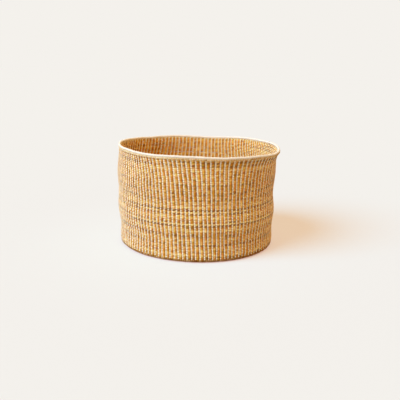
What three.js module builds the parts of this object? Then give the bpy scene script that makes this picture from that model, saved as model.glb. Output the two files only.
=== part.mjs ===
// Round twined basket of banana leaf fibre and white sisal
//
// A basket of this kind is made from the middle of its base outwards. Stiff spokes cross at the
// start, fan out over the base, bend up at the foot and end under the rim. Rows of soft strands
// are twined round them. Here the rows are joined into courses, each a ring of its own, and the
// spokes run inside the courses through slots that they fill with a small clearance.
//
// Lengths are in millimetres and angles in degrees. +Z is up, and the origin is in the middle of
// the base on the floor.

import * as THREE from 'three';

// Driving sizes of the wall
const footRadius = 170;
const wallThickness = 5.8;
const wallTaper = 4.0;
const footBend = 7.0;

// Rows of the wall from the bend up: each course has this many rows, with one dark row between
// two courses
const rowPitch = 3.4;
const courseRows = [20, 8, 12, 12, 3];

// Rim
const rimRowHeight = 2.6;
const rimRowThickness = 8.6;
const rimCordDiameter = 4.6;
const rimCordSides = 8;

// Driving sizes of the base
const startRadius = 14;
const innerBaseRadius = 56;
const outerBaseRadius = 112;
const footWidth = 17;
const baseRecess = 0.8;

// Unevenness of the hand-made wall: a shallow ripple, a belly below the middle, a lean to one side
// and a flared mouth
const rippleHeight = 0.9;
const rippleLength = 80;
const ripplePeak = 158;
const bellyDepth = 1.4;
const bellyMiddle = 80;
const bellyReach = 40;
const leanDepth = 3.3;
const leanStart = 15;
const leanEnd = 205;
const leanSkew = 1.7;
const flareHeight = 24;
const flareDepth = 2.6;
const flareUneven = 2.2;

// Waves of the rim: how high each rises, how many go round, and its phase
const saddleHeight = 1.2;
const lobeHeight = 1.3;
const cornerHeight = 0.55;
const wobbleHeight = 0.8;
const rimWaves = [
  { height: saddleHeight, count: 2, phase: 70 },
  { height: lobeHeight, count: 3, phase: 90 },
  { height: cornerHeight, count: 4, phase: 112 },
  { height: wobbleHeight, count: 7, phase: 33 },
];
const waveDepth = 62;

// Spokes: fifteen cords of each fan lie side by side, joined here into one flat ribbon
const fanCount = 16;
const fanHalfAngle = 4.5;
const spokeThickness = 1.8;
const spokeEndDepth = 0.8;
const clearance = 0.3;

// Steps along the profile
const bendSteps = 3;
const stopLength = 50;

// Materials
const leafFibre = new THREE.MeshStandardMaterial({ color: 0xc98f4d, roughness: 0.85, metalness: 0 });
const darkFibre = new THREE.MeshStandardMaterial({ color: 0x8f5723, roughness: 0.85, metalness: 0 });
const tanFibre = new THREE.MeshStandardMaterial({ color: 0xe0b579, roughness: 0.85, metalness: 0 });
const whiteSisal = new THREE.MeshStandardMaterial({ color: 0xf6ead6, roughness: 0.8, metalness: 0 });
const spokeSisal = new THREE.MeshStandardMaterial({ color: 0xe9d9b8, roughness: 0.85, metalness: 0 });

const radians = THREE.MathUtils.degToRad;
const clamp = THREE.MathUtils.clamp;

// Heights of the seams between the wall's courses, worked out from the counts of rows
const wallSeams = [footBend];
courseRows.forEach((rows, i) => {
  if (i > 0) wallSeams.push(wallSeams.at(-1) + rowPitch);
  wallSeams.push(wallSeams.at(-1) + rows * rowPitch);
});
const rimFloor = wallSeams.at(-1);
const wallHeight = rimFloor + rimRowHeight;

// Outer radius of the wall at an angle and a height
function outerRadius(angle, z) {
  const ripple = rippleHeight * Math.cos(2 * Math.PI * (z - ripplePeak) / rippleLength);
  const bellyShare = clamp((z - bellyMiddle) / bellyReach, -1, 1);
  const belly = bellyDepth * (1 + Math.cos(Math.PI * bellyShare)) / 2;
  const leanShare = clamp((z - leanStart) / (leanEnd - leanStart), 0, 1);
  const lean = -leanDepth * Math.sin(Math.PI * leanShare ** leanSkew) * Math.cos(radians(angle));
  const flareShare = Math.max(0, (z - wallHeight + flareHeight) / flareHeight);
  const flare = (flareDepth + flareUneven * Math.cos(radians(angle))) * flareShare ** 2;
  const settled = clamp(z / rippleLength * 2, 0, 1);
  return footRadius + wallTaper * z / wallHeight + ripple * settled + belly + lean + flare;
}

// How far the rim's waves lift the rows at an angle and a height
function rowLift(angle, z) {
  const share = Math.max(0, (z - wallHeight + waveDepth) / waveDepth);
  let lift = 0;
  for (const wave of rimWaves) {
    lift += wave.height * Math.cos(radians(wave.count * angle - wave.phase));
  }
  return lift * share;
}

// The profile runs out over the base, round the bend and up the wall. Its parameter is the radius
// on the base, and grows by the bend's length and then by height on the wall.
const middleRadius = footBend - wallThickness / 2;
const bendStartRadius = footRadius - footBend;
const bendLength = middleRadius * Math.PI / 2;
const wallStart = bendStartRadius + bendLength;

function onWall(z) {
  return wallStart + z - footBend;
}

// A point of the profile at an angle, moved outwards through the thickness by a distance
function profilePoint(along, outwards, angle) {
  let r = along;
  let z = wallThickness / 2 - outwards;
  if (along > wallStart) {
    const height = along - wallStart + footBend;
    r = outerRadius(angle, height) - wallThickness / 2 + outwards;
    z = height + rowLift(angle, height);
  } else if (along > bendStartRadius) {
    const turn = (along - bendStartRadius) / middleRadius;
    r = bendStartRadius + (middleRadius + outwards) * Math.sin(turn);
    z = footBend - (middleRadius + outwards) * Math.cos(turn);
    r += (outerRadius(angle, footBend) - footRadius) * turn / (Math.PI / 2);
  }
  return new THREE.Vector3(r * Math.cos(radians(angle)), r * Math.sin(radians(angle)), z);
}

// The seams between the base's courses, from its start out to the foot
const footStart = bendStartRadius - footWidth;
const baseSeams = [startRadius, innerBaseRadius, outerBaseRadius, footStart];

// Stops along the profile: every seam, the bend's own steps, and even steps between them
function findStops() {
  const marks = [...baseSeams];
  for (let i = 0; i <= bendSteps; i += 1) {
    marks.push(bendStartRadius + bendLength * i / bendSteps);
  }
  for (const height of [...wallSeams.slice(1), wallHeight]) marks.push(onWall(height));
  const stops = [marks[0]];
  for (let i = 1; i < marks.length; i += 1) {
    const pieces = Math.ceil((marks[i] - marks[i - 1]) / stopLength);
    for (let k = 1; k <= pieces; k += 1) {
      stops.push(marks[i - 1] + (marks[i] - marks[i - 1]) * k / pieces);
    }
  }
  return stops;
}

const allStops = findStops();

function stopsBetween(from, to) {
  const inside = allStops.filter((stop) => stop > from + clearance && stop < to - clearance);
  return [from, ...inside, to];
}

// Collects triangles between shared corners and gives one closed geometry
function makeShell() {
  const corners = [];
  const faces = [];
  return {
    corner(point) {
      corners.push(point.x, point.y, point.z);
      return corners.length / 3 - 1;
    },
    triangle(a, b, c) {
      faces.push(a, b, c);
    },
    quad(a, b, c, d) {
      faces.push(a, b, c, a, c, d);
    },
    geometry() {
      const geometry = new THREE.BufferGeometry();
      geometry.setAttribute('position', new THREE.Float32BufferAttribute(corners, 3));
      geometry.setIndex(faces);
      geometry.computeVertexNormals();
      return geometry;
    },
  };
}

function makeMesh(name, geometry, material) {
  const mesh = new THREE.Mesh(geometry, material);
  mesh.name = name;
  return mesh;
}

// One course of rows: a ring between two places on the profile, with a slot for each spoke fan.
// Each fan's sector has three angles: the solid post between slots, and the slot's two edges.
function makeCourse(name, material, from, to, outside, inside) {
  const shell = makeShell();
  const slotHalf = spokeThickness / 2 + clearance;
  const stops = stopsBetween(from, to);
  const sector = 360 / fanCount;
  const posts = [];
  const lefts = [];
  const rights = [];
  for (const stop of stops) {
    const ring = { posts: [], lefts: [], rights: [] };
    for (let k = 0; k < fanCount; k += 1) {
      const place = (offset, angle) => shell.corner(profilePoint(stop, offset, angle));
      const middle = (k + 0.5) * sector;
      const post = k * sector;
      ring.posts.push([outside, -inside].map((offset) => place(offset, post)));
      const depths = [outside, slotHalf, -slotHalf, -inside];
      ring.lefts.push(depths.map((offset) => place(offset, middle - fanHalfAngle)));
      ring.rights.push(depths.map((offset) => place(offset, middle + fanHalfAngle)));
    }
    posts.push(ring.posts);
    lefts.push(ring.lefts);
    rights.push(ring.rights);
  }
  const last = stops.length - 1;
  for (let k = 0; k < fanCount; k += 1) {
    const next = (k + 1) % fanCount;
    for (let i = 0; i < last; i += 1) {
      const j = i + 1;
      shell.quad(posts[i][k][0], lefts[i][k][0], lefts[j][k][0], posts[j][k][0]);
      shell.quad(lefts[i][k][0], rights[i][k][0], rights[j][k][0], lefts[j][k][0]);
      shell.quad(rights[i][k][0], posts[i][next][0], posts[j][next][0], rights[j][k][0]);
      shell.quad(lefts[i][k][3], posts[i][k][1], posts[j][k][1], lefts[j][k][3]);
      shell.quad(rights[i][k][3], lefts[i][k][3], lefts[j][k][3], rights[j][k][3]);
      shell.quad(posts[i][next][1], rights[i][k][3], rights[j][k][3], posts[j][next][1]);
      shell.quad(rights[i][k][1], lefts[i][k][1], lefts[j][k][1], rights[j][k][1]);
      shell.quad(lefts[i][k][2], rights[i][k][2], rights[j][k][2], lefts[j][k][2]);
      shell.quad(lefts[i][k][1], lefts[i][k][2], lefts[j][k][2], lefts[j][k][1]);
      shell.quad(rights[i][k][2], rights[i][k][1], rights[j][k][1], rights[j][k][2]);
    }
    const end = (i, quad, triangle) => {
      const post = posts[i][k];
      const left = lefts[i][k];
      const right = rights[i][k];
      const after = posts[i][next];
      quad(left[0], left[1], right[1], right[0]);
      quad(left[2], left[3], right[3], right[2]);
      triangle(post[0], left[1], left[0]);
      triangle(post[0], left[2], left[1]);
      quad(post[0], post[1], left[3], left[2]);
      triangle(after[0], right[0], right[1]);
      triangle(after[0], right[1], right[2]);
      quad(after[0], right[2], right[3], after[1]);
    };
    end(0, (a, b, c, d) => shell.quad(a, b, c, d), (a, b, c) => shell.triangle(a, b, c));
    end(last, (a, b, c, d) => shell.quad(a, d, c, b), (a, b, c) => shell.triangle(a, c, b));
  }
  return makeMesh(name, shell.geometry(), material);
}

// The spokes: a small hub where they cross, and one flat ribbon for each fan, bent up at the foot.
// A ribbon's corners lie between the slot's corners, set in by the clearance.
function makeSpokes(name, material) {
  const shell = makeShell();
  const half = spokeThickness / 2;
  const sector = 360 / fanCount;
  const hubRadius = startRadius - clearance;
  const end = onWall(wallHeight - spokeEndDepth);
  const stops = stopsBetween(hubRadius, end);
  const corners = (stop, k) => {
    const middle = (k + 0.5) * sector;
    const list = [];
    for (const [side, depth] of [[-1, half], [1, half], [1, -half], [-1, -half]]) {
      const edge = profilePoint(stop, depth, middle + side * fanHalfAngle);
      const other = profilePoint(stop, depth, middle - side * fanHalfAngle);
      edge.lerp(other, clearance / edge.distanceTo(other));
      list.push(shell.corner(edge));
    }
    return list;
  };
  const lowHub = shell.corner(new THREE.Vector3(0, 0, wallThickness / 2 - half));
  const highHub = shell.corner(new THREE.Vector3(0, 0, wallThickness / 2 + half));
  const roots = [];
  for (let k = 0; k < fanCount; k += 1) roots.push(corners(hubRadius, k));
  for (let k = 0; k < fanCount; k += 1) {
    const here = roots[k];
    const after = roots[(k + 1) % fanCount];
    shell.triangle(lowHub, here[1], here[0]);
    shell.triangle(highHub, here[3], here[2]);
    shell.triangle(lowHub, after[0], here[1]);
    shell.triangle(highHub, here[2], after[3]);
    shell.quad(here[1], after[0], after[3], here[2]);
    let below = here;
    for (const stop of stops.slice(1)) {
      const above = corners(stop, k);
      for (let side = 0; side < 4; side += 1) {
        const turn = (side + 1) % 4;
        shell.quad(below[side], below[turn], above[turn], above[side]);
      }
      below = above;
    }
    shell.quad(below[0], below[1], below[2], below[3]);
  }
  return makeMesh(name, shell.geometry(), material);
}

// The rim cord: a round cord laid on the rim rows, following the rim's waves
function makeRimCord(name, material) {
  const shell = makeShell();
  const radius = rimCordDiameter / 2;
  const sector = 360 / fanCount;
  const angles = [];
  for (let k = 0; k < fanCount; k += 1) {
    angles.push(k * sector, (k + 0.5) * sector - fanHalfAngle, (k + 0.5) * sector + fanHalfAngle);
  }
  const rings = angles.map((angle) => {
    const heart = profilePoint(onWall(wallHeight), 0, angle);
    const outwards = new THREE.Vector3(Math.cos(radians(angle)), Math.sin(radians(angle)), 0);
    const ring = [];
    for (let i = 0; i < rimCordSides; i += 1) {
      const turn = 2 * Math.PI * (i + 0.5) / rimCordSides;
      const point = heart.clone().addScaledVector(outwards, radius * Math.cos(turn));
      const flatRadius = radius * Math.cos(Math.PI / rimCordSides);
      point.z += flatRadius + clearance + radius * Math.sin(turn);
      ring.push(shell.corner(point));
    }
    return ring;
  });
  rings.forEach((ring, k) => {
    const next = rings[(k + 1) % rings.length];
    ring.forEach((corner, i) => {
      const up = (i + 1) % rimCordSides;
      shell.quad(corner, next[i], next[up], ring[up]);
    });
  });
  return makeMesh(name, shell.geometry(), material);
}

const basket = new THREE.Group();
const halfWall = wallThickness / 2;
const halfRim = rimRowThickness / 2;

// Base courses, set up from the floor by the recess so that the basket stands on its foot
['base_start_rows', 'base_middle_rows', 'base_outer_rows'].forEach((name, i) => {
  const to = baseSeams[i + 1] - clearance;
  basket.add(makeCourse(name, leafFibre, baseSeams[i], to, halfWall - baseRecess, halfWall));
});

basket.add(makeCourse('foot_rows', tanFibre, footStart, wallStart, halfWall, halfWall));

// Wall courses with a dark row above each, and a last course under the rim
wallSeams.slice(0, -1).forEach((seam, i) => {
  const from = onWall(seam + clearance);
  const to = onWall(wallSeams[i + 1]);
  const isDark = i % 2 === 1;
  const name = isDark ? `dark_row_${(i + 1) / 2}` : `wall_rows_${i / 2 + 1}`;
  const material = isDark ? darkFibre : leafFibre;
  basket.add(makeCourse(name, material, from, to, halfWall, halfWall));
});

const rimFrom = onWall(rimFloor + clearance);
basket.add(makeCourse('rim_rows', tanFibre, rimFrom, onWall(wallHeight), halfRim, halfRim));
basket.add(makeRimCord('rim_cord', whiteSisal));
basket.add(makeSpokes('spokes', spokeSisal));

export default basket;
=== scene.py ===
"""A round basket, twined from banana leaf fibre and white sisal round upright spokes."""

import math
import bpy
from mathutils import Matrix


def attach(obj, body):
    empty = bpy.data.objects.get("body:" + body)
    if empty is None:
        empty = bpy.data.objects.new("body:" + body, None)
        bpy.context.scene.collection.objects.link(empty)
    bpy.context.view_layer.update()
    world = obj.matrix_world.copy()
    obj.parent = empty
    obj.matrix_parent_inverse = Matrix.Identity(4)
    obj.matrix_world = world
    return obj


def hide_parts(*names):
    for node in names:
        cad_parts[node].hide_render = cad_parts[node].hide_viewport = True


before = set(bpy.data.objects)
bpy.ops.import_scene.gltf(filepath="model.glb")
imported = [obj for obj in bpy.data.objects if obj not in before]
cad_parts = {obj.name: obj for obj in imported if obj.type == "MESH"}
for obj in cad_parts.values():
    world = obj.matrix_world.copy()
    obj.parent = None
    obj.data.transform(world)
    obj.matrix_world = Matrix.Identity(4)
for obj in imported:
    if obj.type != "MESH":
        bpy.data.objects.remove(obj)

from types import SimpleNamespace

import bmesh
import bpy
from mathutils import Matrix, Vector

bl_info = {
    "name": "Twined Leaf Basket",
    "version": (1, 0, 0),
    "blender": (4, 5, 0),
    "location": "3D View > Sidebar > Basket",
    "description": "Twines a round basket of banana leaf fibre and white sisal",
    "category": "Add Mesh",
}

TURN = 2 * math.pi
BODY = "root"

# Points closer than this are joined where a strand meets itself
SEAM_GAP = 1e-6

# Batches of fibre, each of one shade, that a row takes, and how much their shades differ
BATCHES_PER_ROW = 3.1
BATCH_SPREAD = 0.2

# A stitch whose random draw, from -1 to 1, is above this is one of the dark ones
DARK_DRAW = 0.6

# Share of their jitter that rows keep at the front and back
FRONT_JITTER = 0.3

# Swellings of a strand: how many in a metre, and how much thicker they make it
SWELL_SCALE = 110.0
SWELL = 0.35

# Unevenness of the rows: rises in a metre, and their height in metres
SETTLE_SCALE = 9.0
SETTLE = 0.0006

# Steps in metres from one row to the next through the noise and along the streaks
NOISE_STEP = 0.1
STREAK_STEP = 0.37

# How fast the spokes' straying changes round the wall and, more slowly, up it
STRAY_STRETCH = (1.0, 1.0, 0.22)

# Share of a shaded stretch that fades out at its ends
STRETCH_FADE = 0.3

# How far the shades of spokes and of patches in the rim's cord differ, and how small these are
TONE_SPREAD = 0.3
PATCH_SCALE = 12.0

# Numbers of the first rows of base, foot and rim, which seed the draws for their stitches
BASE_NUMBER = 100
FOOT_NUMBER = 200
RIM_NUMBER = 300

# Most rows that one piece holds
ROWS_IN_PIECE = 16

# Share of a cord's radius that one of its plies takes
PLY_SHARE = 0.6

# How far the rim's cord sinks into the row below, and the spokes end below its top, in metres
CORD_SINK = 0.0006
SPOKE_END = 0.001

# Steps and sides of the spokes that cross in the middle, and their spacing in radii
START_STEPS = 48
START_SIDES = 6
START_SPACING = 2.3

# How much paler or darker these spokes are, one after another
START_TONES = (0.3, -0.5, 0.1, -0.2, -0.7)

# How flat the strands lie on the base and on the foot, and the foot's rows of leaf alone
BASE_FLATNESS = 0.7
FOOT_FLATNESS = 0.9
PLAIN_FOOT_ROWS = 2

# How much darker the leaf of the plain foot rows is on the outside, painted shade where it meets
# the floor
FOOT_PAINTED_SHADE = -0.35

# The leaf wrapped round the outside of the rim: how far it swings and stands out, and half of
# its thickness and height, in metres, how much paler it is, and its painted light on one side
RIM_SWING = 0.0004
RIM_SET_OUT = 0.0019
RIM_DEPTH = 0.0013
RIM_HEIGHT = 0.0016
RIM_SHADE = 0.3
RIM_PAINTED_LIGHT = 0.3

# Direction in degrees where the rim is splayed, how narrow that side is, and how much further
# the wrap stands out there and how much further in the cord lies, in metres
SPLAYED_SIDE = 8
SPLAYED_NARROWNESS = 4
SPLAYED_WRAP = 0.0002
SPLAYED_CORD = -0.0022

# Rows of each wall course from the foot up, with one dark row between two courses
WALL_COURSES = (20, 8, 12, 12, 3)

# The rim's corner: its direction in degrees, how high it rises in metres, and how narrow it is
CORNER_SIDE = 180
CORNER_RISE = 0.0030
CORNER_NARROWNESS = 24

# Waves of the spokes' spacing: how far each moves them, in radians, how many go round, and a
# direction in degrees where it crowds them
CROWDING_WAVES = ((0.026, 1, -73), (0.016, 3, 20), (0.012, 4, 27), (0.006, 5, 15))

# Waves of the rim: how high each rises in metres, how many go round, and its phase in degrees
RIM_WAVES = ((0.0012, 2, 70), (0.0013, 3, 90), (0.00055, 4, 112), (0.0008, 7, 33))

# Courses of the base: the node, the radius where the rows begin and end, the rows and the spokes
BASE_COURSES = (
    ("base_start_rows", 0.014, 0.028, 4, 30),
    ("base_start_rows", 0.028, 0.056, 8, 60),
    ("base_middle_rows", 0.056, 0.112, 16, 120),
    ("base_outer_rows", 0.112, 0.146, 10, 240),
)

# Stretches where the leaf strand of a row is another shade: the middle of the stretch and half its
# length in degrees, how much paler it is, or darker, and the heights of its rows in metres
SHADED_STRETCHES = (
    (-40, 70, -0.45, 0.2025),
    (-90, 180, 0.20, 0.1889),
    (-90, 180, -0.25, 0.1957, 0.1583, 0.1413, 0.1277, 0.0835),
    (-90, 180, 0.22, 0.1141, 0.0937, 0.0461, 0.0155),
    (-60, 95, -0.42, 0.1073),
    (-75, 60, 0.25, 0.1039),
    (-90, 180, -0.30, 0.1005),
    (-95, 180, 0.35, 0.0801),
    (-65, 95, -0.42, 0.0767),
    (-90, 180, 0.25, 0.0665),
    (-90, 180, -0.32, 0.0563),
    (-90, 180, -0.28, 0.0359),
    (-45, 60, -0.35, 0.0087),
)

# Finishes: how the fibre is worked, streaks in a metre along and across it, how strong they are,
# the usual place in the colours, the roughness, the relief and the gloss
LEAF = SimpleNamespace(
    work="woven", grain=(150.0, 3200.0, 3200.0), streaks=0.16, middle=0.6, roughness=0.62,
    relief=0.5, gloss=0.08)
SISAL = SimpleNamespace(
    work="spun", grain=(110.0, 4200.0, 4200.0), streaks=0.3, middle=0.75, roughness=0.72,
    relief=0.35, gloss=0.2)

# Fibres: the finish, how much paler or darker they are, and their colours from dark to pale
FIBRES = {
    "leaf_fibre": (LEAF, 0.03, "leaf_dark", "leaf_middle", "leaf_pale"),
    "dark_fibre": (LEAF, -0.07, "leaf_dark", "leaf_middle", "leaf_pale"),
    "tan_fibre": (LEAF, 0.0, "leaf_dark", "tan_middle", "tan_pale"),
    "white_sisal": (SISAL, 0.05, "sisal_shade", "sisal_white"),
    "spoke_sisal": (SISAL, -0.2, "sisal_shade", "sisal_white"),
    "cord_sisal": (SISAL, 0.0, "cord_shade", "cord_white"),
}

# Stains in a metre of leaf and how strong they are, and changes of its hue in a metre
STAIN_SCALE = 55.0
STAINS = 0.05
HUE_SCALE = 340.0

# Depth of the streaks in metres, and how much rougher they are
STREAK_DEPTH = 0.0004
STREAK_ROUGHNESS = 0.12

# How fast the floor's fill light falls off, and the width of the camera's sensor in millimetres
FILL_FALLOFF = 3
SENSOR_WIDTH = 36.0


def metres(name, default, text):
    """A length."""
    return bpy.props.FloatProperty(name=name, description=text, default=default, unit="LENGTH")


def degrees(name, default, text):
    """An angle."""
    return bpy.props.FloatProperty(
        name=name, description=text, default=math.radians(default), subtype="ANGLE")


def factor(name, default, text):
    """A plain number."""
    return bpy.props.FloatProperty(name=name, description=text, default=default)


def whole(name, default, text):
    """A count."""
    return bpy.props.IntProperty(name=name, description=text, default=default)


def triple(name, default, text, subtype="COLOR"):
    """A colour, or three numbers of another kind."""
    return bpy.props.FloatVectorProperty(
        name=name, description=text, size=3, default=default, subtype=subtype)


class BasketForm(bpy.types.PropertyGroup):
    """Sizes of the wall and base, and how the spokes lie on them."""

    foot_radius: metres("Foot Radius", 0.170, "Outer radius at the foot")
    wall_thickness: metres("Wall Thickness", 0.0058, "From inner to outer strands")
    wall_taper: metres("Wall Taper", 0.004, "Widening from foot to rim")
    foot_bend: metres("Foot Bend", 0.007, "Outer radius of the foot's bend")
    ripple_height: metres("Ripple Height", 0.0009, "Height of the wall's ripple")
    ripple_length: metres("Ripple Length", 0.080, "Height from one crest to the next")
    ripple_peak: metres("Ripple Peak", 0.158, "Level of one crest")
    belly_depth: metres("Belly Depth", 0.0014, "How far the wall bulges")
    belly_middle: metres("Belly Middle", 0.080, "Level of the bulge")
    belly_reach: metres("Belly Reach", 0.040, "Half the height of the bulge")
    lean_depth: metres("Lean Depth", 0.0033, "How far the wall leans")
    lean_start: metres("Lean Start", 0.015, "Level where the lean begins")
    lean_end: metres("Lean End", 0.205, "Level where the lean ends")
    lean_skew: factor("Lean Skew", 1.7, "Moves the deepest lean up")
    flare_height: metres("Flare Height", 0.024, "Height of the flared mouth")
    flare_depth: metres("Flare Depth", 0.0026, "How far the mouth flares")
    flare_uneven: metres("Flare Uneven", 0.0022, "How much more it flares on one side")
    wave_depth: metres("Wave Depth", 0.062, "How far down the rim's waves reach")
    bump_height: metres("Bump Height", 0.0006, "Height of the rim's small bumps")
    bump_length: metres("Bump Length", 0.018, "Length of these bumps")
    dent_depth: metres("Dent Depth", 0.0009, "Depth of the wall's soft dents")
    dent_length: metres("Dent Length", 0.045, "Length of these dents")
    stripe_lean: degrees("Stripe Lean", 4.5, "How far the spokes turn from foot to rim")
    upright_sides: factor("Upright Sides", 2.0, "How much less they turn at two sides")
    stripe_spread: degrees("Stripe Spread", 4, "How far the spokes spread at the rim")
    spread_side: degrees("Spread Side", 10, "Direction where they move most")
    spread_height: metres("Spread Height", 0.045, "Height over which they spread")
    stray: metres("Stray", 0.0011, "How far a spoke strays to the side")
    stray_length: metres("Stray Length", 0.0116, "Distance over which they stray alike")

    def bend_radius(self):
        """Radius of the bend at the middle of the wall's thickness."""
        return self.foot_bend - self.wall_thickness / 2

    def wall_start(self):
        """Place on the profile where the wall rises from the bend."""
        return self.foot_radius - self.foot_bend + self.bend_radius() * math.pi / 2


class Twining(bpy.types.PropertyGroup):
    """Sizes of the rows, spokes and strands."""

    row_pitch: metres("Row Pitch", 0.0034, "Height of one row")
    rim_row_height: metres("Rim Row Height", 0.0026, "Height of the rim's thick row")
    spokes: whole("Spokes", 240, "Spokes in the wall")
    spoke_radius: metres("Spoke Radius", 0.0008, "Radius of one spoke")
    jitter: metres("Jitter", 0.0018, "How far a row's stitches stray")
    jitter_length: metres("Jitter Length", 0.014, "Length over which they stray alike")
    strand_rise: metres("Strand Rise", 0.0006, "How far a strand rises at a spoke")
    steps: whole("Steps", 4, "Steps from one spoke to the next")
    leaf_swing: metres("Leaf Swing", 0.0013, "How far the leaf stands out")
    leaf_snap: factor("Leaf Snap", 1.8, "How sharply the leaf swings in")
    leaf_depth: metres("Leaf Depth", 0.0014, "Half the leaf's thickness")
    leaf_height: metres("Leaf Height", 0.00185, "Half the leaf's height")
    leaf_sides: whole("Leaf Sides", 6, "Sides of the leaf's section")
    # Painted shade: the leaf is darker in the gap beside each crossing, where it dives in behind a
    # spoke
    leaf_crease: factor("Crease", 0.35, "How much darker it is where it dives in")
    # Painted light: the leaf is paler where it lies inside the basket
    leaf_inside_shade: factor("Inside Shade", 0.06, "How much paler the leaf is inside")
    # Painted light: the leaf's outside is paler towards one side and darker away from it
    leaf_fading: factor("Fading", 0.09, "How much it has faded on one side")
    leaf_faded_side: degrees("Faded Side", 165, "Direction where it has faded most")
    leaf_dark_stitches: factor("Dark Stitches", 0.32, "How dark a few stitches are")
    sisal_swing: metres("Sisal Swing", 0.0022, "How far the sisal stands out")
    sisal_set_out: metres("Sisal Set Out", -0.0001, "How far out from the middle it lies")
    sisal_snap: factor("Sisal Snap", 1.5, "How sharply the sisal swings in")
    sisal_duck: factor("Sisal Duck", 1.0, "How flat its swing is between spokes")
    sisal_depth: metres("Sisal Depth", 0.00055, "Half the sisal's thickness")
    sisal_height: metres("Sisal Height", 0.0015, "Half the sisal's height")
    sisal_crossing_depth: factor("Crossing Depth", 0.8, "Share of its depth between spokes")
    sisal_crossing_height: factor("Crossing Height", 0.35, "Share of its height between spokes")
    sisal_sides: whole("Sisal Sides", 4, "Sides of the sisal's section")
    # Painted light: the sisal is paler where it lies inside the basket
    sisal_inside_shade: factor("Inside Sisal Painted Light", 0.2, "How much paler the sisal is inside")
    # Painted light: the sisal's outside is paler towards one side and darker away from it
    sisal_fading: factor("Sisal Painted Light", 0.25, "How much it has bleached on one side")
    sisal_faded_side: degrees("Sisal Painted Light Side", -20, "Direction where it has bleached most")
    cord_radius: metres("Rim Cord Radius", 0.0028, "Radius of the rim's cord")
    cord_set_out: metres("Rim Cord Set Out", 0.0009, "How far out from the middle it lies")


class FibreColours(bpy.types.PropertyGroup):
    """Colours of the fibres."""

    leaf_dark: triple("Dark Leaf", (0.300, 0.110, 0.010), "Darkest shade of the leaf")
    leaf_middle: triple("Leaf", (0.690, 0.280, 0.024), "Usual shade of the leaf")
    leaf_pale: triple("Pale Leaf", (0.940, 0.650, 0.220), "Palest shade of the leaf")
    tan_middle: triple("Tan Leaf", (0.660, 0.400, 0.160), "Usual shade at the rim and foot")
    tan_pale: triple("Pale Tan Leaf", (0.860, 0.640, 0.360), "Palest shade at the rim and foot")
    hue_spread: factor("Hue Spread", 0.035, "How far the leaf strays to red and to yellow")
    sisal_white: triple("White Sisal", (1.000, 0.915, 0.685), "Usual shade of the sisal")
    sisal_shade: triple("Sisal Shade", (0.840, 0.710, 0.520), "Shade between sisal fibres")
    # Painted warm bounce light: tints that the strands take where they lie inside the basket
    leaf_inside: triple("Leaf Inside", (1.000, 0.890, 0.530), "Tint of the leaf inside")
    sisal_inside: triple("Sisal Inside", (1.000, 0.930, 0.690), "Tint of the sisal inside")
    cord_white: triple("White Cord", (0.930, 0.810, 0.640), "Usual shade of the rim's cord")
    cord_shade: triple("Cord Shade", (0.700, 0.570, 0.410), "Shade between the cord's fibres")


class Studio(bpy.types.PropertyGroup):
    """The floor, the light and the camera."""

    background: triple("Background", (0.905, 0.880, 0.838), "Colour of the floor and behind it")
    bounce: triple("Bounce", (0.45, 0.45, 0.45), "Floor's colour where it lights the basket")
    shadow_glow: triple("Shadow Glow", (0.62, 0.285, 0.26), "Colour kept in the floor's shadow")
    floor_fill: triple("Floor Fill", (0.059, 0.100, 0.075), "Light added round the basket")
    fill_start: metres("Fill Start", 0.17, "Radius where the fill is full")
    fill_end: metres("Fill End", 0.60, "Radius where the fill ends")
    sky: triple("Sky", (0.98, 0.72, 0.40), "Strength of the light from all round", "NONE")
    lamp: triple("Lamp", (0.36, 0.58, 0.90), "Strength of the lamp on the floor", "NONE")
    lamp_side: degrees("Lamp Side", 213, "Direction that the lamp stands in")
    lamp_height: degrees("Lamp Height", 40, "Angle of the lamp above the floor")
    lamp_width: degrees("Lamp Width", 38, "Angle that the lamp covers")
    floor_width: metres("Floor Width", 60.0, "Width of the floor")
    camera_place: triple(
        "Camera Place", (0.0066, -1.2147, 0.3821), "Where the camera stands", "TRANSLATION")
    camera_tilt: degrees("Camera Tilt", 13.55, "How far the camera looks down")
    camera_roll: degrees("Camera Roll", 1.53, "How far it is turned about its view")
    camera_lens: factor("Camera Lens", 49.95, "Focal length on a 36 mm sensor")


def values_of(group, start=""):
    """The values of the group's properties whose keys have this start, by the rest of the key."""
    return {
        key.removeprefix(start): getattr(group, key)
        for key in group.__annotations__ if key.startswith(start)}


def socket_name(key):
    """The name of the socket with this key, such as First Row for first_row."""
    return key.replace("_", " ").title()


def maths(operation, turned=False):
    """A method that adds a Math node of this kind, with its wire last where it is turned."""
    def apply(self, *others):
        inputs = (*others, self) if turned else (self, *others)
        return self.graph.add("ShaderNodeMath", inputs, operation=operation)
    return apply


class Wire:
    """An output socket of a node. Arithmetic on it adds Math nodes to its tree."""

    __abs__ = maths("ABSOLUTE")
    __add__ = __radd__ = maths("ADD")
    __sub__ = maths("SUBTRACT")
    __rsub__ = maths("SUBTRACT", turned=True)
    __mul__ = __rmul__ = maths("MULTIPLY")
    __truediv__ = maths("DIVIDE")
    __rtruediv__ = maths("DIVIDE", turned=True)
    __pow__ = maths("POWER")
    __mod__ = maths("FLOORED_MODULO")
    __floor__ = maths("FLOOR")
    __lt__ = maths("LESS_THAN")
    cos = maths("COSINE")
    sin = maths("SINE")
    tanh = maths("TANH")
    at_least = maths("MAXIMUM")
    at_most = maths("MINIMUM")

    def __init__(self, graph, socket):
        self.graph = graph
        self.socket = socket

    def __neg__(self):
        return self * -1.0

    def output(self, name):
        return Wire(self.graph, self.socket.node.outputs[name])

    def between(self, low, high):
        """0 where the value is low or less, 1 where it is high or more, and a share between."""
        return ((self - low) / (high - low)).at_least(0.0).at_most(1.0)


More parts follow.
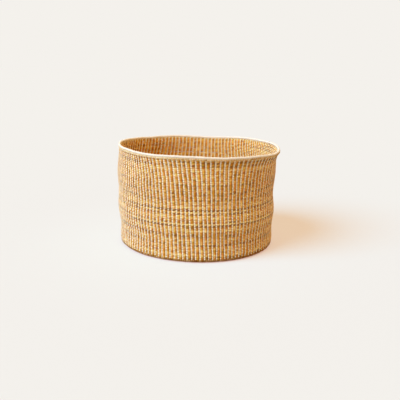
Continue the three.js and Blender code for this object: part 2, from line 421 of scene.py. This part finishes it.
class Graph:
    """A node tree that is being written."""

    SOCKETS = {
        float: "NodeSocketFloat",
        int: "NodeSocketInt",
        bpy.types.Material: "NodeSocketMaterial",
    }

    def __init__(self, tree):
        self.tree = tree

    def add(self, kind, inputs=(), output=0, **settings):
        """Adds a node, with its settings before its inputs, and gives one of its outputs."""
        made = self.tree.nodes.new(kind)
        for name, value in settings.items():
            if name == "stops":
                self.set_stops(made.color_ramp, value)
            else:
                setattr(made, name, value)
        for key, value in inputs.items() if isinstance(inputs, dict) else enumerate(inputs):
            socket = self.find(made.inputs, key)
            if isinstance(value, Wire):
                self.tree.links.new(value.socket, socket)
            else:
                socket.default_value = value
        return Wire(self, self.find(made.outputs, output)) if made.outputs else None

    @staticmethod
    def find(sockets, key):
        """The socket in use with this name, or the one at this place."""
        if isinstance(key, int):
            return sockets[key]
        return next(socket for socket in sockets if socket.enabled and socket.name == key)

    @staticmethod
    def set_stops(ramp, colours):
        """Spaces a colour ramp's stops evenly, one for each colour."""
        while len(ramp.elements) < len(colours):
            ramp.elements.new(1.0)
        for i, colour in enumerate(colours):
            ramp.elements[i].position = i / (len(colours) - 1)
            ramp.elements[i].color = (*colour, 1.0)

    def take(self, **defaults):
        """Gives the tree inputs with these default values, and returns them by the same keys."""
        for key, value in defaults.items():
            socket = self.tree.interface.new_socket(
                socket_name(key), in_out="INPUT", socket_type=self.SOCKETS[type(value)])
            socket.default_value = value
        entry = self.tree.nodes.new("NodeGroupInput")
        return SimpleNamespace(
            **{key: Wire(self, entry.outputs[socket_name(key)]) for key in defaults})

    def give(self, name, wire):
        """Makes a wire of geometry or of a vector the tree's output."""
        kind = wire.socket.bl_idname
        self.tree.interface.new_socket(name, in_out="OUTPUT", socket_type=kind)
        leave = self.tree.nodes.new("NodeGroupOutput")
        self.tree.links.new(wire.socket, leave.inputs[name])
        return self.tree

    def attribute(self, name, output="Fac"):
        return self.add("ShaderNodeAttribute", (), output, attribute_name=name)

    def place(self):
        return self.add("ShaderNodeTexCoord", (), "Object")

    def vector(self, x, y, z):
        return self.add("ShaderNodeCombineXYZ", (x, y, z))

    def mix(self, factor, first, second, **settings):
        """A mix of two colours."""
        inputs = {"Factor": factor, "A": first, "B": second}
        return self.add("ShaderNodeMix", inputs, "Result", data_type="RGBA", **settings)

    def noise(self, vector, scale=1.0, detail=0.0):
        """Smooth noise about 0, between -1 and 1."""
        inputs = {"Vector": vector, "Scale": scale, "Detail": detail}
        return self.add("ShaderNodeTexNoise", inputs) * 2.0 - 1.0

    def chance(self, x, y, z):
        """A random value between -1 and 1 for each set of three numbers."""
        inputs = {"Vector": self.vector(x, y, z)}
        return self.add("ShaderNodeTexWhiteNoise", inputs, "Value") * 2.0 - 1.0

    def stretched(self, vector, scale):
        """The vector with each part multiplied by its own scale."""
        return self.add("ShaderNodeVectorMath", (vector, scale), operation="MULTIPLY")


def new_tree(name):
    """An empty tree of geometry nodes."""
    return Graph(bpy.data.node_groups.new(name, "GeometryNodeTree"))


def form_tree(form, wall_height):
    """Lays a point of the flat, unrolled weave on the basket's form.

    Turn goes round the basket, Place runs out over the base and up the wall, Sideways is a small
    distance along the row, and Outwards is the distance from the middle of the wall's thickness.
    """
    graph = new_tree("Basket Form")
    size = graph.take(
        turn=0.0, sideways=0.0, place=0.0, outwards=0.0, wall_height=wall_height,
        **values_of(form))
    bend_radius = size.foot_bend - size.wall_thickness / 2
    bend_start = size.foot_radius - size.foot_bend
    wall_start = bend_start + bend_radius * (math.pi / 2)
    flat = size.place.at_most(bend_start)
    bend = ((size.place - bend_start) / bend_radius).at_least(0.0).at_most(math.pi / 2)
    upright = bend / (math.pi / 2)
    height = size.foot_bend + (size.place - wall_start).at_least(0.0)
    share = height / size.wall_height
    ring = flat + bend_radius * bend.sin()

    def near_rim(depth):
        """0 at this depth below the rim and further down, and 1 at the rim."""
        return height.between(size.wall_height - depth, size.wall_height)

    turn = size.turn
    around = graph.vector(turn.cos() * ring, turn.sin() * ring, height)
    stray_place = graph.stretched(around, STRAY_STRETCH)
    stray = graph.noise(stray_place, 1 / size.stray_length) * size.stray * upright
    crowd = 0.0
    for reach, count, side in CROWDING_WAVES:
        crowd = ((turn - math.radians(side)) * count).sin() * reach + crowd
    lean_round = (1 - turn.cos() ** 2 * size.upright_sides) * size.stripe_lean * share
    spread = near_rim(size.spread_height) * size.stripe_spread * (turn - size.spread_side).cos()
    angle = turn - crowd - lean_round * upright + spread + (size.sideways + stray) / ring

    ripple = ((height - size.ripple_peak) * TURN / size.ripple_length).cos()
    ripple = ripple * size.ripple_height * (height / size.ripple_length * 2).at_most(1.0)
    belly_share = ((height - size.belly_middle) / size.belly_reach).at_least(-1.0)
    belly = ((belly_share.at_most(1.0) * math.pi).cos() + 1) * size.belly_depth / 2
    lean_share = height.between(size.lean_start, size.lean_end)
    lean = (lean_share ** size.lean_skew * math.pi).sin() * size.lean_depth * angle.cos()
    flare = size.flare_depth + size.flare_uneven * angle.cos()
    flare = flare * near_rim(size.flare_height) ** 2
    dents = graph.noise(around, 1 / size.dent_length) * size.dent_depth
    widening = size.wall_taper * share + ripple + belly - lean + flare + dents

    lift = graph.noise(around, 1 / size.bump_length) * size.bump_height
    for rise, count, phase in RIM_WAVES:
        lift = (angle * count - math.radians(phase)).cos() * rise + lift
    corner = (angle - math.radians(CORNER_SIDE)).cos().at_least(0.0) ** CORNER_NARROWNESS
    lift = corner * CORNER_RISE + lift
    lift = lift * near_rim(size.wave_depth)

    reach = bend_radius + size.outwards
    radius = flat + reach * bend.sin() + widening * upright
    level = height - reach * bend.cos() + lift
    return graph.give("Position", graph.vector(angle.cos() * radius, angle.sin() * radius, level))


def unrolled_strips(graph, strips, steps, sides):
    """Flat strips of faces, one for each strand, with each point's share of the strand's length,
    its angle round the strand's section and its strand's number."""
    strip = graph.add("GeometryNodeMeshGrid", {
        "Size X": 1.0, "Size Y": 1.0, "Vertices X": steps + 1, "Vertices Y": sides + 1})
    starts = graph.add(
        "GeometryNodeMeshLine", {"Count": strips, "Offset": (0.0, 0.0, 1.0)}, mode="OFFSET")
    copies = graph.add("GeometryNodeInstanceOnPoints", {"Points": starts, "Instance": strip})
    mesh = graph.add("GeometryNodeRealizeInstances", (copies,))
    parts = graph.add("ShaderNodeSeparateXYZ", (graph.add("GeometryNodeInputPosition"),))
    return mesh, parts + 0.5, (parts.output("Y") + 0.5) * TURN, parts.output("Z")


def swept_section(along, out, up, middle, deep, high):
    """Turns a strand's section square to its run, which has these slopes along the row, outwards
    and up. Gives how far a point of it lies along the row, outwards and up. The point is this
    deep and high from the strand's middle, and the middle is this far out."""
    level = (along ** 2 + out ** 2) ** 0.5
    length = (along ** 2 + out ** 2 + up ** 2) ** 0.5
    sideways = -(out / level) * deep + -(up * along / level / length) * high
    outwards = middle + along / level * deep + -(up * out / level / length) * high
    return sideways, outwards, level / length * high


def finish_strands(graph, mesh, form_group, spot, fibre, tone, material, inner=0.0):
    """Keeps what the material reads, lays the strips on the form and closes their seams. The
    spot in the unrolled weave gives the form's first four inputs."""
    for name, kind, value in (
            ("fibre", "FLOAT_VECTOR", fibre), ("tone", "FLOAT", tone), ("inner", "FLOAT", inner)):
        mesh = graph.add("GeometryNodeStoreNamedAttribute", {
            "Geometry": mesh, "Name": name, "Value": value}, data_type=kind)
    position = graph.add("GeometryNodeGroup", spot, node_tree=form_group)
    mesh = graph.add("GeometryNodeSetPosition", {"Geometry": mesh, "Position": position})
    mesh = graph.add("GeometryNodeMergeByDistance", {"Geometry": mesh, "Distance": SEAM_GAP})
    mesh = graph.add("GeometryNodeSetShadeSmooth", {"Geometry": mesh})
    mesh = graph.add("GeometryNodeSetMaterial", {"Geometry": mesh, "Material": material})
    return graph.give("Geometry", mesh)


def shaded_stretches(graph, turn, height, row_pitch):
    """How much paler or darker a row's leaf is here than its neighbours."""
    shade = 0.0
    for middle, half, paler, *levels in SHADED_STRETCHES:
        edge = math.cos(math.radians(half))
        near = (turn - math.radians(middle)).cos().between(edge, edge + (1 - edge) * STRETCH_FADE)
        for level in levels:
            in_row = abs(height - level) < row_pitch / 2
            shade = in_row * near * paler + shade
    return shade


def set_out_at(turn, size):
    """How far out a strand lies here, where the rim may be splayed."""
    splayed = (turn - math.radians(SPLAYED_SIDE)).cos().at_least(0.0) ** SPLAYED_NARROWNESS
    return splayed * size.side_set_out + size.set_out


def rows_tree(form_group, form, twining, material):
    """Rows of one of the two strands that are twined round the spokes."""
    graph = new_tree("Twined Rows")
    size = graph.take(
        first_place=0.0, rows=1, row_pitch=twining.row_pitch, first_row=0, spokes=1, steps=4,
        sides=6, phase=0.0, swing=0.002, set_out=0.0, side_set_out=0.0, snap=1.2, duck=0.0,
        rise=0.001, depth=0.001, height=0.0015, crossing_depth=1.0, crossing_height=0.92,
        shade=0.0, shade_spread=0.26, inside_shade=0.0, crease=0.0, fading=0.0, faded_side=0.0,
        dark_stitches=0.0, jitter=twining.jitter, jitter_length=twining.jitter_length,
        shaded_stretches=0.0, strand=material)
    steps = size.spokes * size.steps
    mesh, along, section, row = unrolled_strips(graph, size.rows, steps, size.sides)
    turn = along * TURN
    number = row + size.first_row
    row_place = size.first_place + row * size.row_pitch
    ring = row_place.at_most(form.wall_start())
    pitch = ring * TURN / size.spokes
    spoke = along * size.spokes + size.phase
    cycle = spoke * math.pi

    wave = cycle.cos()
    ducked = wave ** 2 * size.duck - size.duck + 1
    snapped = (wave * ducked * size.snap).tanh()
    full = size.snap.tanh()
    front = snapped / full
    steepness = (wave ** 2 * size.duck * 2 + ducked) * size.snap / full * math.pi
    out_slope = cycle.sin() * (snapped ** 2 - 1) * steepness * size.swing
    up_slope = cycle.cos() * size.rise * math.pi

    around = graph.vector(turn.cos() * ring, turn.sin() * ring, number * NOISE_STEP)
    swell = graph.noise(around, SWELL_SCALE) * SWELL + 1
    on_spoke = abs(front)
    depth = size.crossing_depth + (1 - size.crossing_depth) * on_spoke
    height = size.crossing_height + (1 - size.crossing_height) * on_spoke
    deep = size.depth * depth * swell * section.cos()
    high = size.height * height * swell * section.sin()

    middle = front * size.swing + set_out_at(turn, size)
    sideways, outwards, up = swept_section(pitch, out_slope, up_slope, middle, deep, high)
    rise = cycle.sin() * size.rise + up
    settle = graph.noise(around, SETTLE_SCALE) * SETTLE
    slant = turn.cos() ** 2 * (1 - FRONT_JITTER) + FRONT_JITTER
    sideways = sideways + graph.noise(around, 1 / size.jitter_length) * slant * size.jitter
    spot = (turn, sideways, row_place + rise + settle, outwards)

    stitch = math.floor((spoke + 0.5) % size.spokes)
    batch = math.floor((number + along) * BATCHES_PER_ROW)
    level = row_place - form.wall_start() + form.foot_bend
    spread = graph.chance(stitch, number, size.phase)
    spread = spread + graph.chance(batch, size.phase, 0.5) * BATCH_SPREAD
    darkest = graph.chance(number, stitch, size.phase).between(DARK_DRAW, 1.0)
    # Painted shade in the gap where the leaf dives in beside each crossing
    crease = (cycle * 2).sin().at_least(0.0) * size.crease
    stretches = shaded_stretches(graph, turn, level, twining.row_pitch)
    tone = size.shade + spread * size.shade_spread + stretches * size.shaded_stretches
    tone = tone - crease - darkest * size.dark_stitches
    outside = front * 0.5 + 0.5
    # Painted light and shade: the outside is paler towards one side and darker away from it
    tone = tone + (turn - size.faded_side).cos() * outside * size.fading
    # Painted light inside: strands are paler where they lie inside, by their own amount
    tone = tone + (1 - outside) * size.inside_shade
    fibre = graph.vector(spoke * pitch + number * STREAK_STEP, deep, high)
    return finish_strands(
        graph, mesh, form_group, spot, fibre, tone, size.strand, 1 - outside)


def spokes_tree(form_group, material):
    """A set of spokes that begin at one place on the base and end under the rim."""
    graph = new_tree("Spokes")
    size = graph.take(
        spokes=1, first_spoke=0.0, first_place=0.0, last_place=0.0, steps=60, sides=4,
        radius=0.001, spoke=material)
    mesh, along, section, number = unrolled_strips(graph, size.spokes, size.steps, size.sides)
    step = along * size.steps
    closing = step.at_most(1.0) * (size.steps - step).at_most(1.0)
    share = ((step - 1) / (size.steps - 2)).at_least(0.0).at_most(1.0)
    place = size.first_place + share * (size.last_place - size.first_place)
    turn = (number + size.first_spoke) * TURN / size.spokes
    sideways = size.radius * closing * section.cos()
    outwards = size.radius * closing * section.sin()
    tone = graph.chance(number, size.first_spoke, 0.5) * TONE_SPREAD
    fibre = graph.vector(place, sideways, outwards)
    spot = (turn, sideways, place, outwards)
    return finish_strands(graph, mesh, form_group, spot, fibre, tone, size.spoke)


def cord_tree(form_group, material):
    """A twisted cord that runs once round the basket."""
    graph = new_tree("Twisted Cord")
    size = graph.take(
        place=0.0, set_out=0.0, side_set_out=0.0, ring=0.17, radius=0.0018, plies=3, twists=90,
        steps_per_twist=10, sides=6, shade=-0.1, cord=material)
    steps = size.twists * size.steps_per_twist
    mesh, along, section, ply = unrolled_strips(graph, size.plies, steps, size.sides)
    turn = along * TURN
    twist = turn * size.twists + ply / size.plies * TURN
    ply_radius = size.radius * PLY_SHARE
    swing = size.radius - ply_radius
    slope = swing * size.twists
    deep = ply_radius * section.cos()
    high = ply_radius * section.sin()
    middle = twist.cos() * swing + set_out_at(turn, size)
    sideways, outwards, up = swept_section(
        size.ring, -(twist.sin()) * slope, twist.cos() * slope, middle, deep, high)
    spot = (turn, sideways, size.place + twist.sin() * swing + up, outwards)
    around = graph.vector(turn.cos(), turn.sin(), ply)
    fibre = graph.vector(turn * size.ring, deep, high)
    tone = graph.noise(around, PATCH_SCALE) * TONE_SPREAD + size.shade
    return finish_strands(graph, mesh, form_group, spot, fibre, tone, size.cord)


def new_object(name, data):
    """An object with this data, in the scene."""
    made = bpy.data.objects.new(name, data)
    bpy.context.scene.collection.objects.link(made)
    return made


def grow(name, tree, values):
    """A plain mesh piece, made by a tree of geometry nodes with these values of its inputs."""
    piece = new_object(name, bpy.data.meshes.new(name))
    modifier = piece.modifiers.new(tree.name, "NODES")
    modifier.node_group = tree
    sockets = {item.name: item for item in tree.interface.items_tree if item.in_out == "INPUT"}
    for key, value in values.items():
        modifier[sockets[socket_name(key)].identifier] = value
    depsgraph = bpy.context.evaluated_depsgraph_get()
    mesh = bpy.data.meshes.new_from_object(piece.evaluated_get(depsgraph), depsgraph=depsgraph)
    piece.modifiers.remove(modifier)
    piece.data = mesh
    mesh.name = name
    return piece


def settle_piece(piece, node):
    """Puts a finished piece on the basket's body, in the place of its node in the frame."""
    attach(piece, BODY)
    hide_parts(node)


def node_graph(owner):
    """The emptied node tree of a material or a world."""
    owner.use_nodes = True
    owner.node_tree.nodes.clear()
    return Graph(owner.node_tree)


def fibre_material(kind, colours):
    """Dry fibre with long streaks. A piece's tone shifts it from its dark to its pale colours, and
    a tint of painted warm bounce light colours it where it lies inside. Leaf has stains and
    changes of hue too."""
    finish, shade, *keys = FIBRES[kind]
    material = bpy.data.materials.new(f"{finish.work}_{kind}")
    graph = node_graph(material)
    grain = graph.stretched(graph.attribute("fibre", "Vector"), finish.grain)
    streaks = graph.noise(grain, 1.0, 2.0)
    mixed = graph.attribute("tone") + streaks * finish.streaks
    if finish is LEAF:
        mixed = mixed + graph.noise(graph.place(), STAIN_SCALE, 1.0) * STAINS
    mixed = mixed + (finish.middle + shade)
    stops = [getattr(colours, key) for key in keys]
    colour = graph.add("ShaderNodeValToRGB", (mixed,), stops=stops)
    if finish is LEAF:
        hue = graph.noise(graph.place(), HUE_SCALE) * colours.hue_spread + 0.5
        colour = graph.add("ShaderNodeHueSaturation", {"Hue": hue, "Color": colour})
    # Painted warm bounce light where the strand lies inside
    inside = colours.leaf_inside if finish is LEAF else colours.sisal_inside
    colour = graph.mix(graph.attribute("inner"), colour, (*inside, 1.0), blend_type="MULTIPLY")
    relief = graph.add("ShaderNodeBump", {
        "Strength": finish.relief, "Distance": STREAK_DEPTH, "Height": streaks})
    shader = graph.add("ShaderNodeBsdfPrincipled", {
        "Base Color": colour, "Roughness": finish.roughness + streaks * STREAK_ROUGHNESS,
        "Normal": relief, "Specular IOR Level": finish.gloss})
    graph.add("ShaderNodeOutputMaterial", {"Surface": shader})
    return material


def tube(mesh, points, radius, tone):
    """Adds a closed round tube of one tone along the points, which lie about level, to a mesh."""
    tones = mesh.verts.layers.float.get("tone") or mesh.verts.layers.float.new("tone")
    rings = []
    for i, point in enumerate(points):
        run = points[min(i + 1, len(points) - 1)] - points[max(i - 1, 0)]
        side = Vector((-run.y, run.x, 0)).normalized()
        above = run.cross(side).normalized()
        ring = []
        for k in range(START_SIDES):
            angle = TURN * k / START_SIDES
            out = side * math.cos(angle) + above * math.sin(angle)
            corner = mesh.verts.new(point + radius * out)
            corner[tones] = tone
            ring.append(corner)
        rings.append(ring)
    for below, ring in zip(rings, rings[1:]):
        for k in range(START_SIDES):
            after = (k + 1) % START_SIDES
            mesh.faces.new((below[k], below[after], ring[after], ring[k])).smooth = True
    mesh.faces.new(reversed(rings[0]))
    mesh.faces.new(rings[-1])


class BasketOperator:
    """What the basket's operators share."""

    bl_options = {"REGISTER", "UNDO"}

    @property
    def form(self):
        return bpy.context.scene.basket_form

    @property
    def twining(self):
        return bpy.context.scene.basket_twining

    def wall_height(self):
        """Height of the wall up to the top of the rim row."""
        rows = sum(WALL_COURSES) + len(WALL_COURSES) - 1
        return self.form.foot_bend + rows * self.twining.row_pitch + self.twining.rim_row_height

    def wall_top(self):
        """Place on the profile where the rim row ends."""
        return self.form.wall_start() + self.wall_height() - self.form.foot_bend

    def form_group(self):
        """The tree that lays the weave on the basket's form, which all pieces share."""
        tree = bpy.data.node_groups.get("Basket Form")
        return tree or form_tree(self.form, self.wall_height())

    def rows_group(self):
        """The tree that twines rows, which all courses share."""
        tree = bpy.data.node_groups.get("Twined Rows")
        return tree or rows_tree(
            self.form_group(), self.form, self.twining, self.fibre("leaf_fibre"))

    def fibre(self, kind):
        """The material of this kind of fibre, which all its pieces share."""
        made = bpy.data.materials.get(f"{FIBRES[kind][0].work}_{kind}")
        return made or fibre_material(kind, bpy.context.scene.basket_colours)

    def twine(self, strand, name, slot, node, values):
        """Twines the leaf or the sisal strand of some rows. The leaf lies before a spoke where
        the sisal lies behind it. The strand's sizes are those of its fibre."""
        twining = self.twining
        piece = grow(name, self.rows_group(), {
            "phase": 1.0 if strand == "leaf" else 0.0, "rise": twining.strand_rise,
            "steps": twining.steps, "spokes": twining.spokes, "strand": self.fibre(slot),
            **values_of(twining, f"{strand}_"), **values})
        settle_piece(piece, node)

    def twine_tan(self, name, node, values):
        """Twines rows of tan leaf alone, with one strand before a spoke and one behind it."""
        for phase in (0.0, 1.0):
            piece = f"{name}_{phase:.0f}"
            self.twine("leaf", piece, "tan_fibre", node, {**values, "phase": phase})


class BASKET_OT_studio(BasketOperator, bpy.types.Operator):
    """Makes the pale floor, the soft light and the camera"""

    bl_idname = "basket.studio"
    bl_label = "Studio"

    def execute(self, context):
        studio = context.scene.basket_studio
        context.scene.view_settings.view_transform = "Standard"
        self.make_floor(studio)
        context.scene.world = self.make_sky(studio)
        self.make_lamp(studio)
        context.scene.camera = self.make_camera(studio)
        return {"FINISHED"}

    def make_floor(self, studio):
        half = studio.floor_width / 2
        corners = [(-half, -half, 0), (half, -half, 0), (half, half, 0), (-half, half, 0)]
        mesh = bpy.data.meshes.new("floor")
        mesh.from_pydata(corners, [], [(0, 1, 2, 3)])
        floor = new_object("floor", mesh)
        material = bpy.data.materials.new("pale_floor")
        graph = node_graph(material)
        dimmed = []
        glowing = []
        for shown, sky, lamp, kept in zip(
                studio.background, studio.sky, studio.lamp, studio.shadow_glow):
            dimmed.append(shown / (sky + lamp) * (1 - kept))
            glowing.append(shown * kept)
        plain = graph.add("ShaderNodeBsdfDiffuse", {"Color": (*studio.bounce, 1.0)})
        shadowed = graph.add("ShaderNodeBsdfDiffuse", {"Color": (*dimmed, 1.0)})
        glow = graph.add("ShaderNodeEmission", {"Color": (*glowing, 1.0)})
        shown = graph.add("ShaderNodeAddShader", (shadowed, glow))
        parts = graph.add("ShaderNodeSeparateXYZ", (graph.place(),))
        distance = (parts ** 2 + parts.output("Y") ** 2) ** 0.5
        near = distance.between(studio.fill_end, studio.fill_start) ** FILL_FALLOFF
        filled = graph.mix(near, (0.0, 0.0, 0.0, 1.0), (*studio.floor_fill, 1.0))
        fill = graph.add("ShaderNodeEmission", {"Color": filled})
        shown = graph.add("ShaderNodeAddShader", (shown, fill))
        seen = graph.add("ShaderNodeLightPath", (), "Is Camera Ray")
        shader = graph.add("ShaderNodeMixShader", (seen, plain, shown))
        graph.add("ShaderNodeOutputMaterial", {"Surface": shader})
        mesh.materials.append(material)

    def make_sky(self, studio):
        world = bpy.data.worlds.new("studio")
        graph = node_graph(world)
        seen = graph.add("ShaderNodeLightPath", (), "Is Camera Ray")
        sky = graph.add("ShaderNodeBackground", {"Color": (*studio.sky, 1.0)})
        behind = graph.add("ShaderNodeBackground", {"Color": (*studio.background, 1.0)})
        mixed = graph.add("ShaderNodeMixShader", (seen, sky, behind))
        graph.add("ShaderNodeOutputWorld", {"Surface": mixed})
        return world

    def make_lamp(self, studio):
        lamp = bpy.data.lights.new("window", "SUN")
        brightest = max(studio.lamp)
        lamp.color = [part / brightest for part in studio.lamp]
        lamp.energy = brightest * math.pi / math.sin(studio.lamp_height)
        lamp.angle = studio.lamp_width
        holder = new_object("window", lamp)
        level = math.cos(studio.lamp_height)
        holder.location = (level * math.cos(studio.lamp_side), level * math.sin(studio.lamp_side),
                           math.sin(studio.lamp_height))
        holder.rotation_euler = holder.location.to_track_quat("Z", "Y").to_euler()

    def make_camera(self, studio):
        camera = bpy.data.cameras.new("camera")
        camera.lens = studio.camera_lens
        camera.sensor_width = SENSOR_WIDTH
        holder = new_object("camera", camera)
        tilt = Matrix.Rotation(math.pi / 2 - studio.camera_tilt, 4, "X")
        roll = Matrix.Rotation(studio.camera_roll, 4, "Z")
        holder.matrix_world = Matrix.Translation(studio.camera_place) @ tilt @ roll
        return holder


class BASKET_OT_spokes(BasketOperator, bpy.types.Operator):
    """Lays the spokes out over the base and up the wall, with more of them further out"""

    bl_idname = "basket.spokes"
    bl_label = "Spokes"

    def execute(self, context):
        tree = spokes_tree(self.form_group(), self.fibre("spoke_sisal"))
        spokes = 0
        for i, (_, first, _, _, count) in enumerate(BASE_COURSES, 1):
            piece = grow(f"spokes_{i}", tree, {
                "spokes": count - spokes, "first_spoke": 0.5 if spokes else 0.0,
                "first_place": first, "last_place": self.wall_top() - SPOKE_END,
                "radius": self.twining.spoke_radius})
            settle_piece(piece, "spokes")
            spokes = count
        return {"FINISHED"}


class BASKET_OT_start(BasketOperator, bpy.types.Operator):
    """Crosses the first spokes over and under each other in the middle of the base"""

    bl_idname = "basket.start"
    bl_label = "Crossed Start"

    def execute(self, context):
        _, end_radius, _, _, spokes = BASE_COURSES[0]
        mesh = bmesh.new()
        across = spokes // 4
        up = spokes // 2 - across
        for along, count, other in ((0, across, up), (1, up, across)):
            for i in range(count):
                points = self.stick(along, i, count, other, end_radius, TURN / spokes)
                tone = START_TONES[(i * 2 + along) % len(START_TONES)]
                tube(mesh, points, self.twining.spoke_radius, tone)
        bmesh.ops.recalc_face_normals(mesh, faces=mesh.faces)
        data = bpy.data.meshes.new("crossed_start")
        mesh.to_mesh(data)
        mesh.free()
        data.materials.append(self.fibre("spoke_sisal"))
        settle_piece(new_object("crossed_start", data), "spokes")
        return {"FINISHED"}

    def stick(self, along, i, count, other, end_radius, spoke_angle):
        """The points of one spoke through the middle, which weaves through the other set."""
        middle = self.form.wall_thickness / 2
        radius = self.twining.spoke_radius
        gap = radius * START_SPACING
        shift = i - (count - 1) / 2
        fan = shift * spoke_angle
        half_mat = (other - 1) / 2 * gap
        reach = end_radius * math.cos(fan)
        points = []
        for k in range(START_STEPS + 1):
            run = (2 * k / START_STEPS - 1) * reach
            beyond = max(0.0, abs(run) - half_mat) / (reach - half_mat)
            aside = shift * gap + (end_radius * math.sin(fan) - shift * gap) * beyond ** 2
            weave = math.cos(math.pi * (run / gap + (other - 1) / 2 + i + along))
            height = middle + radius * weave * (1 - beyond) ** 2
            points.append(Vector((aside, run, height) if along else (run, aside, height)))
        return points


class BASKET_OT_base(BasketOperator, bpy.types.Operator):
    """Twines the rows of the base"""

    bl_idname = "basket.base"
    bl_label = "Base"

    def execute(self, context):
        twining = self.twining
        number = BASE_NUMBER
        for i, (node, start, end, rows, spokes) in enumerate(BASE_COURSES, 1):
            pitch = (end - start) / rows
            values = {
                "first_place": start + pitch / 2, "rows": rows, "row_pitch": pitch,
                "first_row": number, "spokes": spokes}
            self.twine("leaf", f"base_leaf_{i}", "leaf_fibre", node, {
                **values, "swing": twining.leaf_swing * BASE_FLATNESS,
                "depth": twining.leaf_depth * BASE_FLATNESS})
            self.twine("sisal", f"base_sisal_{i}", "white_sisal", node, {
                **values, "swing": twining.sisal_swing * BASE_FLATNESS})
            number += rows
        return {"FINISHED"}


class BASKET_OT_foot(BasketOperator, bpy.types.Operator):
    """Twines the foot's rows, of which the last ones are leaf alone"""

    bl_idname = "basket.foot"
    bl_label = "Foot"

    def execute(self, context):
        start = BASE_COURSES[-1][2]
        width = self.form.wall_start() - start
        rows = round(width / self.twining.row_pitch)
        pitch = width / rows
        striped = {
            "first_place": start + pitch / 2, "rows": rows - PLAIN_FOOT_ROWS,
            "row_pitch": pitch, "first_row": FOOT_NUMBER}
        low = {**striped, "swing": self.twining.leaf_swing * FOOT_FLATNESS}
        # The plain rows carry painted shade on the outside where they meet the floor, taken off
        # again inside
        plain = {
            **low, "first_place": start + (rows - PLAIN_FOOT_ROWS + 0.5) * pitch,
            "rows": PLAIN_FOOT_ROWS, "first_row": FOOT_NUMBER + rows, "shade": FOOT_PAINTED_SHADE,
            "inside_shade": -FOOT_PAINTED_SHADE}
        self.twine("leaf", "foot_leaf", "leaf_fibre", "foot_rows", low)
        self.twine("sisal", "foot_sisal", "white_sisal", "foot_rows", striped)
        self.twine_tan("foot_plain", "foot_rows", plain)
        return {"FINISHED"}


class BASKET_OT_wall(BasketOperator, bpy.types.Operator):
    """Twines the wall's courses, and a darker row between each two"""

    bl_idname = "basket.wall"
    bl_label = "Wall"

    def execute(self, context):
        row = 0
        for course, rows in enumerate(WALL_COURSES, 1):
            if course > 1:
                self.twine_rows(f"dark_row_{course - 1}", "dark_fibre", row, 1)
                row += 1
            self.twine_rows(f"wall_rows_{course}", "leaf_fibre", row, rows)
            row += rows
        return {"FINISHED"}

    def twine_rows(self, node, slot, row, rows):
        """Twines both strands of some rows, in pieces of a handy size."""
        pieces = math.ceil(rows / ROWS_IN_PIECE)
        for k in range(pieces):
            from_row = row + rows * k // pieces
            to_row = row + rows * (k + 1) // pieces
            ending = f"_{k + 1}" if pieces > 1 else ""
            values = {
                "first_place": self.form.wall_start() + (from_row + 0.5) * self.twining.row_pitch,
                "rows": to_row - from_row, "first_row": from_row}
            shaded = {**values, "shaded_stretches": 1.0}
            self.twine("leaf", f"{node}_leaf{ending}", slot, node, shaded)
            self.twine("sisal", f"{node}_sisal{ending}", "white_sisal", node, values)


class BASKET_OT_rim(BasketOperator, bpy.types.Operator):
    """Twines the thick leaf row at the rim and lays the white cord on it"""

    bl_idname = "basket.rim"
    bl_label = "Rim"

    def execute(self, context):
        twining = self.twining
        top = self.wall_top()
        values = {
            "first_place": top - twining.rim_row_height / 2, "first_row": RIM_NUMBER,
            "height": twining.rim_row_height / 2}
        wrap = {
            **values, "first_place": top - RIM_HEIGHT, "swing": RIM_SWING,
            "set_out": RIM_SET_OUT, "side_set_out": SPLAYED_WRAP, "depth": RIM_DEPTH,
            "height": RIM_HEIGHT, "crossing_height": 1.0, "shade": RIM_SHADE,
            "fading": RIM_PAINTED_LIGHT}
        self.twine("leaf", "rim_leaf", "tan_fibre", "rim_rows", values)
        self.twine("sisal", "rim_sisal", "white_sisal", "rim_rows", values)
        self.twine_tan("rim_wrap", "rim_rows", wrap)
        cord = grow("rim_cord_plies", cord_tree(self.form_group(), self.fibre("cord_sisal")), {
            "place": top + twining.cord_radius - CORD_SINK, "ring": self.form.foot_radius,
            "radius": twining.cord_radius, "set_out": twining.cord_set_out,
            "side_set_out": SPLAYED_CORD})
        settle_piece(cord, "rim_cord")
        return {"FINISHED"}


class BASKET_PT_panel(bpy.types.Panel):
    """Lists the basket's pieces and their sizes"""

    bl_idname = "BASKET_PT_panel"
    bl_label = "Twined Basket"
    bl_space_type = "VIEW_3D"
    bl_region_type = "UI"
    bl_category = "Basket"

    def draw(self, context):
        for operator in OPERATORS:
            self.layout.operator(operator.bl_idname)
        for name in GROUPS:
            box = self.layout.box()
            group = getattr(context.scene, name)
            for key in group.__annotations__:
                box.prop(group, key)


GROUPS = {
    "basket_form": BasketForm,
    "basket_twining": Twining,
    "basket_colours": FibreColours,
    "basket_studio": Studio,
}
OPERATORS = (
    BASKET_OT_studio,
    BASKET_OT_spokes,
    BASKET_OT_start,
    BASKET_OT_base,
    BASKET_OT_foot,
    BASKET_OT_wall,
    BASKET_OT_rim,
)
CLASSES = (*GROUPS.values(), *OPERATORS, BASKET_PT_panel)


def register():
    for entry in CLASSES:
        bpy.utils.register_class(entry)
    for name, group in GROUPS.items():
        setattr(bpy.types.Scene, name, bpy.props.PointerProperty(type=group))


def unregister():
    for name in GROUPS:
        delattr(bpy.types.Scene, name)
    for entry in reversed(CLASSES):
        bpy.utils.unregister_class(entry)


def main():
    """Makes the whole scene."""
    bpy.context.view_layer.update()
    register()
    bpy.ops.basket.studio()
    bpy.ops.basket.spokes()
    bpy.ops.basket.start()
    bpy.ops.basket.base()
    bpy.ops.basket.foot()
    bpy.ops.basket.wall()
    bpy.ops.basket.rim()


if __name__ == "__main__":
    main()
